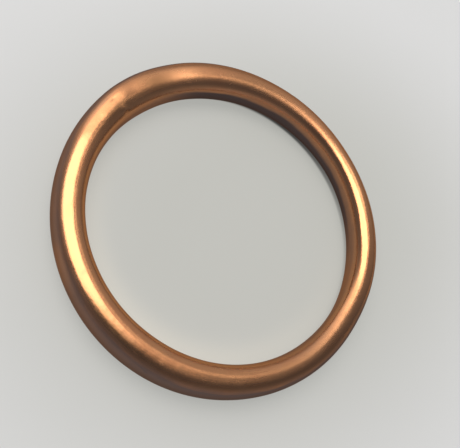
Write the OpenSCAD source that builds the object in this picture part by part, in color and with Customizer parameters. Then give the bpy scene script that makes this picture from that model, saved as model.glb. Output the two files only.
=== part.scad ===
// Copper exhaust gasket: a crush ring that seals an exhaust pipe in its port.
// It lies flat: the lower sealing land is on z = 0 and the bore's axis is the Z axis.

/* [Ring] */
// Diameter of the gas passage through the ring
bore_d = 35; // [20:0.5:60]

/* [Section] */
// Width of the copper section, from the bore's wall to the outer wall
section_w = 4; // [3:0.1:4.6]
// Height of the section before it is crushed
section_h = 4.5; // [4.2:0.1:6.5]
// Width of the flat sealing land on the crown and on the underside
land_w = 0.4; // [0.2:0.1:1.2]

/* [Joint] */
// Direction in which the dressed joint lies, anticlockwise from +X, in degrees
joint_angle = 172; // [0:1:359]
// Length of the dished stretch that the dressing left along the crown
joint_len = 6.5; // [3:0.5:10]
// Depth of the dish at its middle
joint_depth = 0.12; // [0.04:0.01:0.3]

/* [Pit] */
// Turn from the joint to the small pit in the crown's inner shoulder, in degrees
pit_turn = 16; // [12:1:60]
// Diameter of the pit where it breaks the surface
pit_d = 0.9; // [0.4:0.1:1.4]
// Depth of the pit
pit_depth = 0.12; // [0.04:0.01:0.2]

/* [Hidden] */
$fn = 180;

copper = [0.74, 0.46, 0.27];

bore_r = bore_d / 2;
outer_r = bore_r + section_w;
mean_r = bore_r + section_w / 2;

// The shoulders are quarter rounds that run from the walls into the lands.
shoulder_r = (section_w - land_w) / 2;
wall_h = section_h - 2 * shoulder_r;

// A cylinder of this radius, laid across the ring, dishes the crown over joint_len.
dish_r = (pow(joint_len / 2, 2) + pow(joint_depth, 2)) / (2 * joint_depth);

// A ball of this radius sinks pit_depth into the shoulder and leaves a rim of pit_d.
pit_ball_r = (pow(pit_d / 2, 2) + pow(pit_depth, 2)) / (2 * pit_depth);

// Half way round the inner shoulder, between the wall and the crown.
pit_lean = 45;

// Outline of the copper in the half plane to the right of the bore's axis.
module section_outline() {
    translate([bore_r, shoulder_r]) square([section_w, wall_h]);
    translate([bore_r + shoulder_r, 0]) square([land_w, section_h]);
    for (r = [bore_r + shoulder_r, outer_r - shoulder_r], z = [shoulder_r, section_h - shoulder_r])
        translate([r, z]) circle(r = shoulder_r);
}

// The dish that filing and pressing the joint left in the crown.
module joint_dish() {
    rotate([0, 0, joint_angle])
        translate([mean_r, 0, section_h - joint_depth + dish_r])
            rotate([0, 90, 0]) cylinder(r = dish_r, h = 2 * section_w, center = true);
}

// The small pit beside the joint, pressed square into the inner shoulder.
module joint_pit() {
    reach = shoulder_r + pit_ball_r - pit_depth;
    rotate([0, 0, joint_angle + pit_turn])
        translate([bore_r + shoulder_r, 0, section_h - shoulder_r])
            rotate([0, -pit_lean, 0]) translate([0, 0, reach]) sphere(r = pit_ball_r);
}

module gasket_ring() {
    color(copper)
        difference() {
            rotate_extrude() section_outline();
            joint_dish();
            joint_pit();
        }
}

gasket_ring();
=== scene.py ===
"""A copper exhaust gasket: a crush ring with a rounded section, lying on a pale sheet."""
import math

import bpy
from mathutils import Matrix, Vector


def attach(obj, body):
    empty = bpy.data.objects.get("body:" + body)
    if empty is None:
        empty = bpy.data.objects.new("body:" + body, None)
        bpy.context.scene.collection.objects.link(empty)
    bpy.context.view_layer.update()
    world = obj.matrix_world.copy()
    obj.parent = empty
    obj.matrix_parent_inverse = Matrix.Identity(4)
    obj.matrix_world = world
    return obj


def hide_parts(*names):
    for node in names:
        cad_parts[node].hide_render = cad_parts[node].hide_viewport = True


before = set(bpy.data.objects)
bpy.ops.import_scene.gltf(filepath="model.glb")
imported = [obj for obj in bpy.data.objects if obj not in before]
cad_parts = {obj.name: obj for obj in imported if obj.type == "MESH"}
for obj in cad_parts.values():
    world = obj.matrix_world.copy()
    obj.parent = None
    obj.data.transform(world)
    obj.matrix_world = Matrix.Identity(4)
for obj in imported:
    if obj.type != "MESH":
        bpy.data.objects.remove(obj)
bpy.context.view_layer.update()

# Lengths are in millimetres and angles in degrees. Round the ring angles go anticlockwise from +X, and round
# the section from 0 at the outer wall over 90 at the crown to 180 at the inner wall.
MM = 0.001

# The ring and its section.
MEAN_RADIUS = 19.45
HALF_WIDTH = 1.945
HALF_HEIGHT = 2.22
# An exponent of 2 gives an ellipse, and a larger one a squarer section.
SQUARENESS = 2.3
STEPS_AROUND = 720
STEPS_ACROSS = 128
# Points closer than this are welded where the sweep meets itself.
WELD_DISTANCE = 0.0005

# The swells of the section: each one's share of the width, how often it comes round, and where it peaks.
SWELLS = ((0.088, 1, 208), (0.065, 2, 140.8), (0.045, 3, 41))
# How far the centre line strays from a circle, how often that comes round, and where it peaks.
OUT_OF_ROUND = ((0.060, 2, 95), (0.031, 3, 66.5))
# Stretches where the section leans: middle, reach, and the slope inwards.
LEANING = ((12, 17, 0.155), (80, 18, 0.05), (176, 15, -0.07))

# The dressed joint, where the ring's two ends meet. The metal climbs a long ramp to the lap's edge,
# drops over it, and is dished beyond it.
LAP_AT = 185.3
LAP_RAMP = 4.5
LAP_DROP = 2.2
LAP_HEIGHT = 0.06
# The lap lies a little outwards of the crown: its middle round the section, and its breadth.
LAP_LEAN = 80
LAP_BREADTH = 4.6
DISH_AT = 164.3
DISH_LENGTH = 5.8
DISH_DEPTH = 0.095
DISH_LEAN = 90
DISH_BREADTH = 7
# Small marks: angle round the ring, angle round the section, length along the ring, breadth, and rise.
MARKS = (
    (188.3, 123, 0.95, 0.9, 0.085),
    (188.8, 80, 0.9, 0.18, -0.06),
)
# How long and how high the slow waves of the hand-dressed surface are, and the relief of its fine lines
# and dents.
WAVE_LENGTH = 5.0
WAVE_HEIGHT = 0.02
BUMP_HEIGHT = 0.012

# Noise on the ring: how fine it is along the ring and round the section, its detail, and an offset that
# keeps the patterns apart.
WAVES = (MEAN_RADIUS / WAVE_LENGTH, 0.8, 1.0, 30.0)
STREAKS = (3.2, 15.0, 3.0, 0.0)
PATCHES = (6.0, 1.6, 2.0, 9.0)
STAINS = (16.0, 4.0, 4.0, 21.0)
DRAWING_LINES = (2.2, 34.0, 2.0, 3.0)
DENTS = (22.0, 3.6, 2.0, 15.0)
# The share of the drawing lines in the fine relief, beside the dents.
LINES_SHARE = 0.5

# Polish by height on the section, which is 0 half way up and 1 at the crown. On the outer wall it begins at
# the first height and is whole at the second. On the inner wall the third number is the least polish.
OUTER_POLISH = (0.60, 1.0)
INNER_POLISH = (0.10, 0.70, 0.35)
# The heights swing this much with the patches, and as much with the streaks.
UNEVEN_POLISH = 0.18
# Where the inner wall gives way to the outer one, as the cosine of the angle round the section.
WALLS_MEET = (-0.2, 0.2)
# Stretches of the walls that handling has rubbed: middle, reach, and the least polish there.
RUBBED_OUTSIDE = ((235, 50, 0.26), (250, 12, 0.42))
RUBBED_INSIDE = ((18, 42, 0.5), (243, 15, 0.62))
# Stretches where the whole surface is less polished: middle, reach, and how much less.
DULLED = ((120, 26, 0.12), (352, 22, 0.2))
# Stains come up where their noise rises from the first level to the second, and take at most this much
# polish.
STAIN_LEVELS = (0.58, 0.75)
STAIN_LOSS = 0.13
# Painted shade: low on the inner wall of one stretch, the crevice's shadow is painted into the colour: the
# middle, how far off it starts to fade and where it ends, and the slope of its upper edge. Then the heights
# between which that edge fades.
CREVICE_SHADE_STRETCH = (106, 42, 72, 0.25)
CREVICE_SHADE_EDGE = (0.06, 0.27)

# The metal's colours, painted shade and highlight among them, and its tint seen at a glancing angle.
TARNISH = (0.170, 0.121, 0.107)
# Painted shade: the dark of the crevice's shadow, low on the inner wall.
PAINTED_CREVICE_SHADE = (0.104, 0.078, 0.078)
BRIGHT = (0.58, 0.265, 0.12)
# Painted highlight: a brighter copper where the lamp's reflections must shine brighter.
PAINTED_HIGHLIGHT = (0.80, 0.37, 0.17)
# A brown for browned metal, also used as painted shade over parts of the reflections.
BROWN_AND_SHADE = (0.29, 0.138, 0.062)
ROSY = (0.50, 0.19, 0.085)
GLANCING_TINT = (0.62, 0.47, 0.40)
# The metal turns rosy where the noise of the patches rises from the first level to the second, and by at
# most this share.
ROSY_LEVELS = (0.42, 0.68)
ROSY_SHARE = 0.3
# Stretches where the polished metal has browned: middle, reach, and how far.
BROWNED_STRETCHES = ((344, 30, 0.74), (304, 22, 0.2), (130, 14, 0.34))
# The browning fades out on the inner wall, between these cosines of the angle round the section.
BROWNED_EDGE = (-0.60, -0.25)
# Spots of browning, painted shade and painted highlight: angle round the ring, angle round the section,
# length along the ring, breadth, share and colour.
SPOTS = (
    (170.3, 98, 5.4, 1.7, 0.96, BROWN_AND_SHADE),
    # Painted shade over the inner edge of the lamp's reflection by the joint.
    (191, 102, 9.0, 1.3, 0.9, BROWN_AND_SHADE),
    # Painted highlight where the lamp's reflection comes back beside the dish.
    (157.5, 86, 4.0, 1.3, 0.5, PAINTED_HIGHLIGHT),
    # Painted shade that trims the outer edge of the lamp's reflection.
    (275, 74, 12.0, 0.9, 0.75, BROWN_AND_SHADE),
    (127, 100, 13.0, 1.1, 0.4, BROWN_AND_SHADE),
    # Painted highlight that brightens the lamp's reflection on the crown of this stretch.
    (75, 95, 15.0, 1.1, 0.8, PAINTED_HIGHLIGHT),
)

# How rough the polished metal is, how much rougher the tarnish is, how fast that sets in as the polish goes,
# and how much the streaks change it.
POLISHED_ROUGHNESS = 0.11
TARNISH_ROUGHNESS = 0.40
DULLNESS_POWER = 0.7
STREAK_ROUGHNESS = 0.14
# One stretch is rougher inwards of the crown: middle, reach, and how much. Then the cosines of the angle
# round the section between which that sets in.
SATIN_INSIDE = (226, 42, 0.18)
SATIN_EDGE = (-0.40, -0.02)
# Stretches where the polished metal has a satin sheen: middle, reach, and how much rougher it is.
SATIN_STRETCHES = ((118, 30, 0.09), (318, 42, 0.13))
# Spots with a satin sheen: angle round the ring, angle round the section, length along the ring, breadth,
# and how much rougher.
SATIN_SPOTS = ((169, 102, 10.5, 2.3, 0.22),)

# The camera, as the photograph was taken.
PHOTO_WIDTH_PX = 460
SENSOR_WIDTH = 36
FOCAL_PX = 636.6
VIEW_DISTANCE = 81.5
VIEW_ELEVATION = 60.8
VIEW_ROLL = -51.76
VIEW_TARGET = (0.49, 1.283, 0)
CLIP_START = 5

# The overhead softbox's panels: the share of its radiance, and the corners on the level plane at its height.
SOFTBOX_PANELS = (
    (
        1.0,
        (-23, 184),
        (0, 134),
        (3, 60),
        (-19, -74),
        (-95, -164),
        (-208, -202),
        (-400, -212),
        (-410, -60),
        (-375, 70),
        (-110, 172),
        (-48, 191),
    ),
    (
        0.60,
        (-110, 172),
        (-375, 70),
        (-455, 130),
        (-470, 225),
        (-150, 221),
        (-48, 192),
    ),
    (
        0.36,
        (-23, 184),
        (0, 134),
        (3, 60),
        (-19, -74),
        (19, -66),
        (28, 60),
        (27, 150),
    ),
    (
        0.11,
        (27, 150),
        (28, 60),
        (19, -66),
        (49, -62),
        (62, 60),
        (58, 150),
    ),
    (
        0.51,
        (-2, 208),
        (33, 208),
        (43, 262),
        (44, 300),
        (48, 332),
        (46, 362),
        (20, 362),
        (4, 310),
        (-3, 262),
    ),
)
SOFTBOX_HEIGHT = 390
SOFTBOX_RADIANCE = 4.2
SOFTBOX_COLOUR = (1, 0.98, 0.95)

# The room's dim, cool tone, and its soft glows: azimuth, elevation, reach sideways and upwards, and radiance.
ROOM_COLOUR = (0.085, 0.11, 0.165)
ROOM_GLOWS = (
    (162, 26, 14, 24, 1.4),
    (150, 56, 24, 20, 0.8),
    (100, 26, 36, 34, 0.45),
    (120, 54, 14, 12, 0.18),
    (74, 72, 22, 12, 0.15),
    (130, 30, 13, 20, 0.28),
    (197, 46, 28, 18, 0.3),
    (245, 2, 52, 22, 0.08),
    (338, 8, 40, 24, 0.30),
    (300, 4, 60, 10, 0.26),
    (194, 4, 16, 12, 0.20),
)

# The pale sheet: the share of its tone that takes shadow, and the share that doesn't.
SHEET_COLOUR = (0.165, 0.161, 0.153)
SHEET_GLOW = (0.380, 0.381, 0.350)
SHEET_SIZE = 3000
SHEET_ROUGHNESS = 0.9
SHEET_GLOSS = 0.1
# Painted falloff of light: the sheet grows paler between two distances from the middle of its painted dim
# part, by this factor and with this tint.
SHEET_FADE = (9.9, 43.9)
SHEET_PALER = 1.297
SHEET_PALER_TINT = (1.0, 1.0, 1.06)
# The painted dim part: its middle, how much longer it is one way, and the angle of that way.
SHEET_MIDDLE = (3.8, 4.6)
SHEET_LONGER = 1.263
SHEET_LENGTHWISE = 72.4
# Faint clouds on it: how many to a metre, their detail, and how much they swing its tone.
CLOUD_SCALE = 110.0
CLOUD_DETAIL = 3.0
CLOUD_SHARE = 0.05
# The ring's inner wall throws a warm glow on the sheet: radius and reach, the middle's angle and reach, and
# the tone that it adds.
SHEET_WARMTH = (16.6, 1.8, -80, 75)
WARM_TONE = (0.10, 0.080, 0.055)
# Little light gets under the ring's curve: the distances from its centre line between which the crevice ends,
# the angle where it is darkest, the reach, and how much light is lost there.
CREVICE = (1.05, 1.52, 112, 60, 0.88)


class Board:
    """Adds nodes to one tree, so that a formula reads as one."""

    def __init__(self, tree):
        self.tree = tree

    def node(self, kind, **settings):
        made = self.tree.nodes.new(kind)
        for name, value in settings.items():
            setattr(made, name, value)
        return made

    def feed(self, socket, source):
        """Links a socket to a source, or writes a plain value on it."""
        if isinstance(source, bpy.types.NodeSocket):
            self.tree.links.new(source, socket)
        else:
            socket.default_value = source

    def math(self, operation, first, second=None, third=None):
        made = self.node("ShaderNodeMath", operation=operation)
        for socket, source in zip(made.inputs, (first, second, third)):
            if source is not None:
                self.feed(socket, source)
        return made.outputs[0]

    def add(self, first, second):
        return self.math("ADD", first, second)

    def less(self, first, second):
        return self.math("SUBTRACT", first, second)

    def times(self, first, second):
        return self.math("MULTIPLY", first, second)

    def total(self, sources):
        result = sources[0]
        for source in sources[1:]:
            result = self.add(result, source)
        return result

    def point(self, x, y, z):
        made = self.node("ShaderNodeCombineXYZ")
        for socket, source in zip(made.inputs, (x, y, z)):
            self.feed(socket, source)
        return made.outputs[0]

    def parts(self, vector):
        made = self.node("ShaderNodeSeparateXYZ")
        self.feed(made.inputs[0], vector)
        return made.outputs

    def rest_of(self, share):
        """What a share leaves of the whole."""
        return self.less(1.0, share)

    def swing(self, noise, strength):
        """Noise that swings evenly about nothing."""
        return self.times(self.less(noise, 0.5), strength)

    def signed_power(self, base, exponent):
        """The sign of a number times a power of its size."""
        size = self.math("POWER", self.math("ABSOLUTE", base), exponent)
        return self.times(self.math("SIGN", base), size)

    def bell(self, offset, reach):
        """1 where the offset is none, and falling smoothly to almost nothing at twice the reach."""
        share = self.math("DIVIDE", offset, reach)
        return self.math("EXPONENT", self.times(self.times(share, share), -1.0))

    def angle_from(self, angle, degrees):
        """The angle from one given in degrees, wrapped to half a turn either way."""
        return self.math("WRAP", self.less(angle, math.radians(degrees)), math.pi, -math.pi)

    def stretch(self, angle, middle, reach):
        """A bell round a middle angle. The middle and the reach are in degrees."""
        return self.bell(self.angle_from(angle, middle), math.radians(reach))


def smooth_step(board, value, low, high, at_low=0.0, at_high=1.0, smooth=True):
    """Goes from one value to another while the input goes from low to high."""
    made = board.node("ShaderNodeMapRange", interpolation_type="SMOOTHSTEP" if smooth else "LINEAR")
    for name, source in (
        ("Value", value),
        ("From Min", low),
        ("From Max", high),
        ("To Min", at_low),
        ("To Max", at_high),
    ):
        board.feed(made.inputs[name], source)
    return made.outputs["Result"]


def blend(board, share, first, second):
    """Mixes two colours."""
    made = board.node("ShaderNodeMix", data_type="RGBA")
    board.feed(made.inputs["Factor"], share)
    colours = [socket for socket in made.inputs if socket.type == "RGBA"]
    for socket, source in zip(colours, (first, second)):
        board.feed(socket, source if isinstance(source, bpy.types.NodeSocket) else (*source, 1))
    return [socket for socket in made.outputs if socket.type == "RGBA"][0]


def waves_round(board, turn, waves):
    """The sum of waves round the ring, each given by its height, how often it comes round and its peak."""
    parts = []
    for height, times_round, peak in waves:
        phase = board.times(board.less(turn, math.radians(peak)), float(times_round))
        parts.append(board.times(board.math("COSINE", phase), height))
    return board.total(parts)


def ring_noise(board, turn, lean, pattern):
    """Noise that is seamless both round the ring and round its section."""
    along, across, detail, offset = pattern
    made = board.node("ShaderNodeTexNoise", noise_dimensions="4D")
    place = board.point(
        board.add(board.times(board.math("COSINE", turn), along), offset),
        board.times(board.math("SINE", turn), along),
        board.times(board.math("COSINE", lean), across),
    )
    board.feed(made.inputs["Vector"], place)
    board.feed(made.inputs["W"], board.times(board.math("SINE", lean), across))
    board.feed(made.inputs["Scale"], 1.0)
    board.feed(made.inputs["Detail"], detail)
    return made.outputs["Fac"]


def ring_spot(board, turn, lean, spot_turn, spot_lean, length, breadth):
    """1 at one place on the ring, and falling smoothly to almost nothing a length and a breadth away."""
    past = board.times(board.angle_from(turn, spot_turn), MEAN_RADIUS)
    aside = board.times(board.angle_from(lean, spot_lean), HALF_HEIGHT)
    return board.times(board.bell(past, length * 0.5), board.bell(aside, breadth * 0.5))


def name_inputs(tree):
    """Gives the ring's tree its output and its named inputs, with the ring's own sizes in them."""
    tree.interface.new_socket("Geometry", in_out="OUTPUT", socket_type="NodeSocketGeometry")
    for name, kind, value in (
        ("Mean radius", "NodeSocketFloat", MEAN_RADIUS * MM),
        ("Half width", "NodeSocketFloat", HALF_WIDTH * MM),
        ("Half height", "NodeSocketFloat", HALF_HEIGHT * MM),
        ("Squareness", "NodeSocketFloat", SQUARENESS),
        ("Lap height", "NodeSocketFloat", LAP_HEIGHT * MM),
        ("Dish length", "NodeSocketFloat", DISH_LENGTH * MM),
        ("Dish depth", "NodeSocketFloat", DISH_DEPTH * MM),
        ("Wave height", "NodeSocketFloat", WAVE_HEIGHT * MM),
        ("Steps around", "NodeSocketInt", STEPS_AROUND),
        ("Steps across", "NodeSocketInt", STEPS_ACROSS),
    ):
        tree.interface.new_socket(name, in_out="INPUT", socket_type=kind).default_value = value
    tree.interface.new_socket("Copper", in_out="INPUT", socket_type="NodeSocketMaterial")


def mapped_grid(board, given):
    """A unit square with one face for each step, which keeps its UV map."""
    grid = board.node("GeometryNodeMeshGrid")
    board.feed(grid.inputs["Size X"], 1.0)
    board.feed(grid.inputs["Size Y"], 1.0)
    board.feed(grid.inputs["Vertices X"], board.add(given["Steps around"], 1.0))
    board.feed(grid.inputs["Vertices Y"], board.add(given["Steps across"], 1.0))
    mapped = board.node("GeometryNodeStoreNamedAttribute", data_type="FLOAT2", domain="CORNER")
    board.feed(mapped.inputs["Geometry"], grid.outputs["Mesh"])
    board.feed(mapped.inputs["Name"], "UVMap")
    board.feed(mapped.inputs["Value"], grid.outputs["UV Map"])
    return mapped.outputs[0]


def section_place(board, given, turn, lean):
    """The radius and the height of a point on the bare section, before the joint is dressed."""
    power = board.math("DIVIDE", 2.0, given["Squareness"])
    outward = board.signed_power(board.math("COSINE", lean), power)
    upward = board.signed_power(board.math("SINE", lean), power)
    swell = board.add(waves_round(board, turn, SWELLS), 1.0)
    across = board.times(board.times(outward, given["Half width"]), swell)
    above = board.times(upward, given["Half height"])
    for middle, reach, slope in LEANING:
        leaning = board.times(board.stretch(turn, middle, reach), slope)
        across = board.less(across, board.times(leaning, above))
    stray = board.times(waves_round(board, turn, OUT_OF_ROUND), MM)
    radius = board.add(board.add(given["Mean radius"], stray), across)
    return radius, board.add(above, given["Half height"])


def surface_lift(board, given, turn, lean):
    """How far the surface stands off the bare section: the joint's dish, lap and marks, and slow waves."""
    along = board.times(board.angle_from(turn, DISH_AT), given["Mean radius"])
    aside = board.times(board.angle_from(lean, DISH_LEAN), given["Half height"])
    hollow = board.times(board.bell(along, board.times(given["Dish length"], 0.5)), given["Dish depth"])
    hollow = board.times(hollow, board.bell(aside, DISH_BREADTH * 0.5 * MM))

    # The lap's ramp and drop meet in a ridge.
    past = board.times(board.angle_from(turn, LAP_AT), given["Mean radius"])
    ramp = smooth_step(board, past, 0.0, LAP_RAMP * MM, 1.0, 0.0, smooth=False)
    drop = smooth_step(board, past, -LAP_DROP * MM, 0.0)
    lap = board.times(board.times(ramp, drop), given["Lap height"])
    aside = board.times(board.angle_from(lean, LAP_LEAN), given["Half height"])
    lap = board.times(lap, board.bell(aside, LAP_BREADTH * 0.5 * MM))

    lift = board.less(lap, hollow)
    for *place, rise in MARKS:
        lift = board.add(lift, board.times(ring_spot(board, turn, lean, *place), rise * MM))
    waves = board.swing(ring_noise(board, turn, lean, WAVES), board.times(given["Wave height"], 2.0))
    return board.add(lift, waves)


def ring_tree():
    """Sweeps the section round the ring on a grid of points."""
    tree = bpy.data.node_groups.new("Ring sweep", "GeometryNodeTree")
    name_inputs(tree)
    board = Board(tree)
    given = board.node("NodeGroupInput").outputs

    # The section starts and ends at the middle of the underside.
    flat = board.parts(board.node("GeometryNodeInputPosition").outputs[0])
    turn = board.times(flat[0], math.tau)
    lean = board.add(board.times(flat[1], math.tau), math.pi / 2)
    radius, height = section_place(board, given, turn, lean)
    lift = surface_lift(board, given, turn, lean)
    radius = board.add(radius, board.times(lift, board.math("COSINE", lean)))
    height = board.add(height, board.times(lift, board.math("SINE", lean)))
    place = board.point(
        board.times(radius, board.math("COSINE", turn)),
        board.times(radius, board.math("SINE", turn)),
        board.math("MAXIMUM", height, 0.0),
    )

    swept = board.node("GeometryNodeSetPosition")
    board.feed(swept.inputs["Geometry"], mapped_grid(board, given))
    board.feed(swept.inputs["Position"], place)
    welded = board.node("GeometryNodeMergeByDistance")
    board.feed(welded.inputs["Geometry"], swept.outputs[0])
    board.feed(welded.inputs["Distance"], WELD_DISTANCE * MM)
    smooth = board.node("GeometryNodeSetShadeSmooth")
    board.feed(smooth.inputs["Geometry"], welded.outputs[0])
    real = board.node("GeometryNodeRealizeInstances")
    board.feed(real.inputs[0], smooth.outputs[0])
    dressed = board.node("GeometryNodeSetMaterial")
    board.feed(dressed.inputs["Geometry"], real.outputs[0])
    board.feed(dressed.inputs["Material"], given["Copper"])
    board.feed(board.node("NodeGroupOutput").inputs[0], dressed.outputs[0])
    return tree


def baked(name, tree, inputs):
    """Runs a geometry tree on an empty mesh and keeps its result as a plain object."""
    carrier = bpy.data.objects.new(name + "_carrier", bpy.data.meshes.new(name + "_carrier"))
    bpy.context.scene.collection.objects.link(carrier)
    modifier = carrier.modifiers.new("Sweep", "NODES")
    modifier.node_group = tree
    identifiers = {item.name: item.identifier for item in tree.interface.items_tree if item.in_out == "INPUT"}
    for label, value in inputs.items():
        modifier[identifiers[label]] = value
    evaluated = carrier.evaluated_get(bpy.context.evaluated_depsgraph_get())
    mesh = bpy.data.meshes.new_from_object(evaluated)
    mesh.name = name
    bpy.data.objects.remove(carrier)
    piece = bpy.data.objects.new(name, mesh)
    bpy.context.scene.collection.objects.link(piece)
    return piece


def ring_polish(board, turn, height, outer_side, stains):
    """How polished the metal is: most on the crown, less on the walls, with rubbed and dulled stretches."""
    outer = smooth_step(board, height, *OUTER_POLISH)
    for middle, reach, least in RUBBED_OUTSIDE:
        outer = board.math("MAXIMUM", outer, board.times(board.stretch(turn, middle, reach), least))
    begins, whole, least_inside = INNER_POLISH
    inner = smooth_step(board, height, begins, whole, least_inside, 1.0)
    for middle, reach, least in RUBBED_INSIDE:
        inner = board.math("MAXIMUM", inner, board.times(board.stretch(turn, middle, reach), least))
    polish = board.add(board.times(outer, outer_side), board.times(inner, board.rest_of(outer_side)))
    for middle, reach, loss in DULLED:
        dulled = board.times(board.stretch(turn, middle, reach), loss)
        polish = board.times(polish, board.rest_of(dulled))
    polish = board.less(polish, smooth_step(board, stains, *STAIN_LEVELS, 0.0, STAIN_LOSS))
    return board.math("MAXIMUM", polish, 0.0)


def crevice_shade_share(board, turn, height, outer_side):
    """1 where the crevice's shadow is painted, low on the inner wall of one stretch."""
    middle, fades, ends, slope = CREVICE_SHADE_STRETCH
    aside = board.angle_from(turn, middle)
    edge = board.less(height, board.times(board.math("SINE", aside), slope))
    off_middle = board.math("ABSOLUTE", aside)
    painted_shade = smooth_step(board, off_middle, math.radians(fades), math.radians(ends), 1.0, 0.0)
    painted_shade = board.times(painted_shade, smooth_step(board, edge, *CREVICE_SHADE_EDGE, 1.0, 0.0))
    return board.times(painted_shade, board.rest_of(outer_side))


def copper_colour(board, turn, lean, polish, patches):
    """Bright where polished, with rosy patches, browned places, and spots of painted shade and highlight."""
    colour = blend(board, polish, TARNISH, BRIGHT)
    rosy = board.times(smooth_step(board, patches, *ROSY_LEVELS), polish)
    colour = blend(board, board.times(rosy, ROSY_SHARE), colour, ROSY)
    off_inner_wall = smooth_step(board, board.math("COSINE", lean), *BROWNED_EDGE)
    for middle, reach, share in BROWNED_STRETCHES:
        browned = board.times(board.stretch(turn, middle, reach), off_inner_wall)
        colour = blend(board, board.times(board.times(browned, polish), share), colour, BROWN_AND_SHADE)
    for *place, share, spot_colour in SPOTS:
        spot = ring_spot(board, turn, lean, *place)
        colour = blend(board, board.times(spot, share), colour, spot_colour)
    return colour


def copper_roughness(board, turn, lean, polish, streaks):
    """Rougher where the metal is tarnished, along the streaks and in the satin places."""
    dullness = board.math("POWER", board.rest_of(polish), DULLNESS_POWER)
    tarnished = board.times(dullness, TARNISH_ROUGHNESS)
    wear = board.swing(streaks, STREAK_ROUGHNESS)
    middle, reach, rise = SATIN_INSIDE
    inside = smooth_step(board, board.math("COSINE", lean), *SATIN_EDGE, rise, 0.0)
    satin = board.times(board.stretch(turn, middle, reach), inside)
    roughness = board.total((tarnished, POLISHED_ROUGHNESS, wear, satin))
    for middle, reach, rise in SATIN_STRETCHES:
        sheen = board.times(board.stretch(turn, middle, reach), polish)
        roughness = board.add(roughness, board.times(sheen, rise))
    for *place, rise in SATIN_SPOTS:
        roughness = board.add(roughness, board.times(ring_spot(board, turn, lean, *place), rise))
    return roughness


def copper_relief(board, turn, lean):
    """Fine drawing lines run along the ring, and faint dents lie across them."""
    lines = ring_noise(board, turn, lean, DRAWING_LINES)
    dents = ring_noise(board, turn, lean, DENTS)
    bump = board.node("ShaderNodeBump")
    board.feed(bump.inputs["Strength"], 1.0)
    board.feed(bump.inputs["Distance"], BUMP_HEIGHT * MM)
    board.feed(bump.inputs["Height"], board.add(board.times(lines, LINES_SHARE), dents))
    return bump.outputs["Normal"]


def copper_material():
    """Softly polished copper, bright on the crown and tarnished brown on the walls; crevice shade is painted.
    """
    material = bpy.data.materials.new("drawn_copper")
    material.use_nodes = True
    board = Board(material.node_tree)
    shader = material.node_tree.nodes["Principled BSDF"]
    shader.inputs["Metallic"].default_value = 1.0
    shader.inputs["Specular Tint"].default_value = (*GLANCING_TINT, 1)

    unrolled = board.parts(board.node("ShaderNodeUVMap", uv_map="UVMap").outputs[0])
    turn = board.less(board.times(unrolled[0], math.tau), math.pi)
    lean = board.less(board.times(unrolled[1], math.tau), math.pi / 2)
    streaks = ring_noise(board, turn, lean, STREAKS)
    patches = ring_noise(board, turn, lean, PATCHES)
    stains = ring_noise(board, turn, lean, STAINS)
    uneven = board.add(board.swing(patches, UNEVEN_POLISH), board.swing(streaks, UNEVEN_POLISH))
    height = board.add(board.math("SINE", lean), uneven)
    outer_side = smooth_step(board, board.math("COSINE", lean), *WALLS_MEET)

    polish = ring_polish(board, turn, height, outer_side, stains)
    colour = copper_colour(board, turn, lean, polish, patches)
    # Painted shade: the crevice's shadow darkens the low inner wall of one stretch.
    colour = blend(board, crevice_shade_share(board, turn, height, outer_side), colour, PAINTED_CREVICE_SHADE)
    board.feed(shader.inputs["Base Color"], colour)
    board.feed(shader.inputs["Roughness"], copper_roughness(board, turn, lean, polish, streaks))
    board.feed(shader.inputs["Normal"], copper_relief(board, turn, lean))
    return material


def paler(tone):
    """A tone of the sheet as it is far from the ring."""
    return tuple(min(part * SHEET_PALER * tint, 1.0) for part, tint in zip(tone, SHEET_PALER_TINT))


def length_of(board, vector):
    made = board.node("ShaderNodeVectorMath", operation="LENGTH")
    board.feed(made.inputs[0], vector)
    return made.outputs["Value"]


def sheet_paleness(board, place):
    """0 in the sheet's painted dim part and 1 far outside it, a painted falloff of light, with faint clouds.
    """
    centred = board.node("ShaderNodeMapping", vector_type="TEXTURE")
    board.feed(centred.inputs["Vector"], place)
    board.feed(centred.inputs["Location"], tuple(part * MM for part in (*SHEET_MIDDLE, 0)))
    board.feed(centred.inputs["Rotation"], (0, 0, math.radians(SHEET_LENGTHWISE)))
    board.feed(centred.inputs["Scale"], (SHEET_LONGER, 1, 1))
    near, far = (edge * MM for edge in SHEET_FADE)
    outwards = smooth_step(board, length_of(board, centred.outputs["Vector"]), near, far)
    cloud = board.node("ShaderNodeTexNoise")
    board.feed(cloud.inputs["Vector"], place)
    board.feed(cloud.inputs["Scale"], CLOUD_SCALE)
    board.feed(cloud.inputs["Detail"], CLOUD_DETAIL)
    return board.add(outwards, board.swing(cloud.outputs["Fac"], CLOUD_SHARE))


def rim_warmth(board, off_axis, angle):
    """1 where the sheet's warm glow is strongest, along the near part of the ring's inner rim."""
    radius, reach, middle, spread = SHEET_WARMTH
    off_rim = board.less(off_axis, radius * MM)
    return board.times(board.bell(off_rim, reach * MM), board.stretch(angle, middle, spread))


def crevice_light(board, off_axis, angle):
    """The share of the sheet's own tone that is left. It is less in the crevice under the ring."""
    under, beside, darkest, spread, loss = CREVICE
    off_ring = board.math("ABSOLUTE", board.less(off_axis, MEAN_RADIUS * MM))
    closeness = smooth_step(board, off_ring, under * MM, beside * MM, 1.0, 0.0)
    darkness = board.times(board.times(closeness, board.stretch(angle, darkest, spread)), loss)
    return board.rest_of(darkness)


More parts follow.
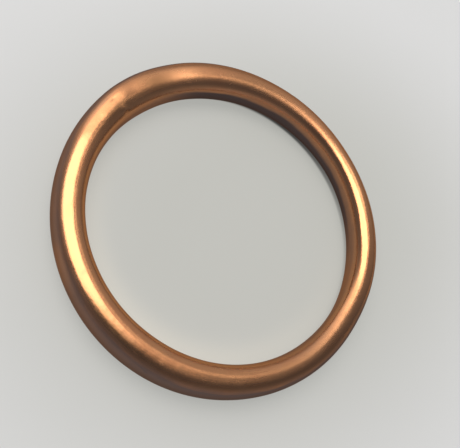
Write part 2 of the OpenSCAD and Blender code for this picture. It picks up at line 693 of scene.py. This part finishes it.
def paper_material():
    """The pale sheet under the ring. A share of its tone is its own, so that its shadows stay light."""
    material = bpy.data.materials.new("pale_sheet")
    material.use_nodes = True
    board = Board(material.node_tree)
    shader = material.node_tree.nodes["Principled BSDF"]
    shader.inputs["Roughness"].default_value = SHEET_ROUGHNESS
    shader.inputs["Specular IOR Level"].default_value = SHEET_GLOSS
    place = board.node("ShaderNodeTexCoord").outputs["Object"]
    # The sheet's tone carries a painted falloff of light, dimmer round the ring.
    paleness = sheet_paleness(board, place)
    board.feed(shader.inputs["Base Color"], blend(board, paleness, SHEET_COLOUR, paler(SHEET_COLOUR)))

    x, y, _ = board.parts(place)
    off_axis = length_of(board, place)
    angle = board.math("ARCTAN2", y, x)
    own = blend(board, paleness, SHEET_GLOW, paler(SHEET_GLOW))
    warmed = tuple(part + warm for part, warm in zip(SHEET_GLOW, WARM_TONE))
    own = blend(board, rim_warmth(board, off_axis, angle), own, warmed)
    board.feed(shader.inputs["Emission Color"], own)
    rays = board.node("ShaderNodeLightPath").outputs
    seen = board.math("MAXIMUM", rays["Is Camera Ray"], rays["Is Glossy Ray"])
    seen = board.math("MAXIMUM", seen, rays["Is Transmission Ray"])
    strength = board.times(seen, crevice_light(board, off_axis, angle))
    board.feed(shader.inputs["Emission Strength"], strength)
    return material


def add_floor():
    bpy.ops.mesh.primitive_plane_add(size=SHEET_SIZE * MM)
    floor = bpy.context.object
    floor.name = "floor"
    floor.data.materials.append(paper_material())


def softbox_cloth(share):
    """Glows with a share of the softbox's radiance."""
    material = bpy.data.materials.new("softbox_cloth")
    material.use_nodes = True
    board = Board(material.node_tree)
    material.node_tree.nodes.remove(material.node_tree.nodes["Principled BSDF"])
    glow = board.node("ShaderNodeEmission")
    glow.inputs["Color"].default_value = (*SOFTBOX_COLOUR, 1)
    glow.inputs["Strength"].default_value = SOFTBOX_RADIANCE * share
    board.feed(material.node_tree.nodes["Material Output"].inputs["Surface"], glow.outputs[0])
    return material


def add_softbox():
    """The overhead lamp: flat glowing panels, level above the ring and a little to one side."""
    mesh = bpy.data.meshes.new("softbox")
    corners = []
    panels = []
    for _, *outline in SOFTBOX_PANELS:
        panels.append(tuple(range(len(corners), len(corners) + len(outline))))
        corners += [(x * MM, y * MM, SOFTBOX_HEIGHT * MM) for x, y in outline]
    mesh.from_pydata(corners, [], panels)
    for (share, *_), panel in zip(SOFTBOX_PANELS, mesh.polygons):
        mesh.materials.append(softbox_cloth(share))
        panel.material_index = panel.index
    softbox = bpy.data.objects.new("softbox", mesh)
    bpy.context.scene.collection.objects.link(softbox)
    softbox.visible_camera = False


def direction(azimuth, elevation):
    """The unit vector towards an azimuth from +X and an elevation, both in degrees."""
    level = math.cos(math.radians(elevation))
    turn = math.radians(azimuth)
    return Vector((level * math.cos(turn), level * math.sin(turn), math.sin(math.radians(elevation))))


def light_room():
    """A dim room with a few soft glows on its walls."""
    world = bpy.data.worlds.new("room")
    bpy.context.scene.world = world
    world.use_nodes = True
    board = Board(world.node_tree)
    towards = board.node("ShaderNodeTexCoord").outputs["Generated"]

    def share_along(axis):
        made = board.node("ShaderNodeVectorMath", operation="DOT_PRODUCT")
        board.feed(made.inputs[0], towards)
        board.feed(made.inputs[1], axis)
        return made.outputs["Value"]

    levels = []
    for azimuth, elevation, wide, high, radiance in ROOM_GLOWS:
        centre = direction(azimuth, elevation)
        sideways = direction(azimuth + 90, 0)
        level = board.bell(share_along(sideways), math.sin(math.radians(wide)))
        plumb = board.bell(share_along(centre.cross(sideways)), math.sin(math.radians(high)))
        in_front = board.math("GREATER_THAN", share_along(centre), 0.0)
        levels.append(board.times(board.times(level, plumb), board.times(in_front, radiance)))
    glows = board.total(levels)
    tone = board.node("ShaderNodeCombineColor")
    for socket, dim in zip(tone.inputs, ROOM_COLOUR):
        board.feed(socket, board.add(glows, dim))
    background = world.node_tree.nodes["Background"]
    board.feed(background.inputs["Color"], tone.outputs[0])


def add_camera():
    elevation = math.radians(VIEW_ELEVATION)
    roll = math.radians(VIEW_ROLL)
    back = Vector((0, -math.cos(elevation), math.sin(elevation)))
    right = Vector((1, 0, 0))
    down = (-back).cross(right)
    image_right = math.cos(roll) * right + math.sin(roll) * down
    image_down = -math.sin(roll) * right + math.cos(roll) * down
    place = (Vector(VIEW_TARGET) + back * VIEW_DISTANCE) * MM
    data = bpy.data.cameras.new("camera")
    data.sensor_width = SENSOR_WIDTH
    data.lens = FOCAL_PX / PHOTO_WIDTH_PX * SENSOR_WIDTH
    data.clip_start = CLIP_START * MM
    camera = bpy.data.objects.new("camera", data)
    bpy.context.scene.collection.objects.link(camera)
    axes = Matrix((image_right, -image_down, back)).transposed().to_4x4()
    camera.matrix_world = Matrix.Translation(place) @ axes
    bpy.context.scene.camera = camera


def build_ring():
    ring = baked("copper_ring", ring_tree(), {"Copper": copper_material()})
    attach(ring, "root")
    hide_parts("gasket_ring")


build_ring()
add_floor()
light_room()
add_softbox()
add_camera()
bpy.context.scene.view_settings.view_transform = "Standard"
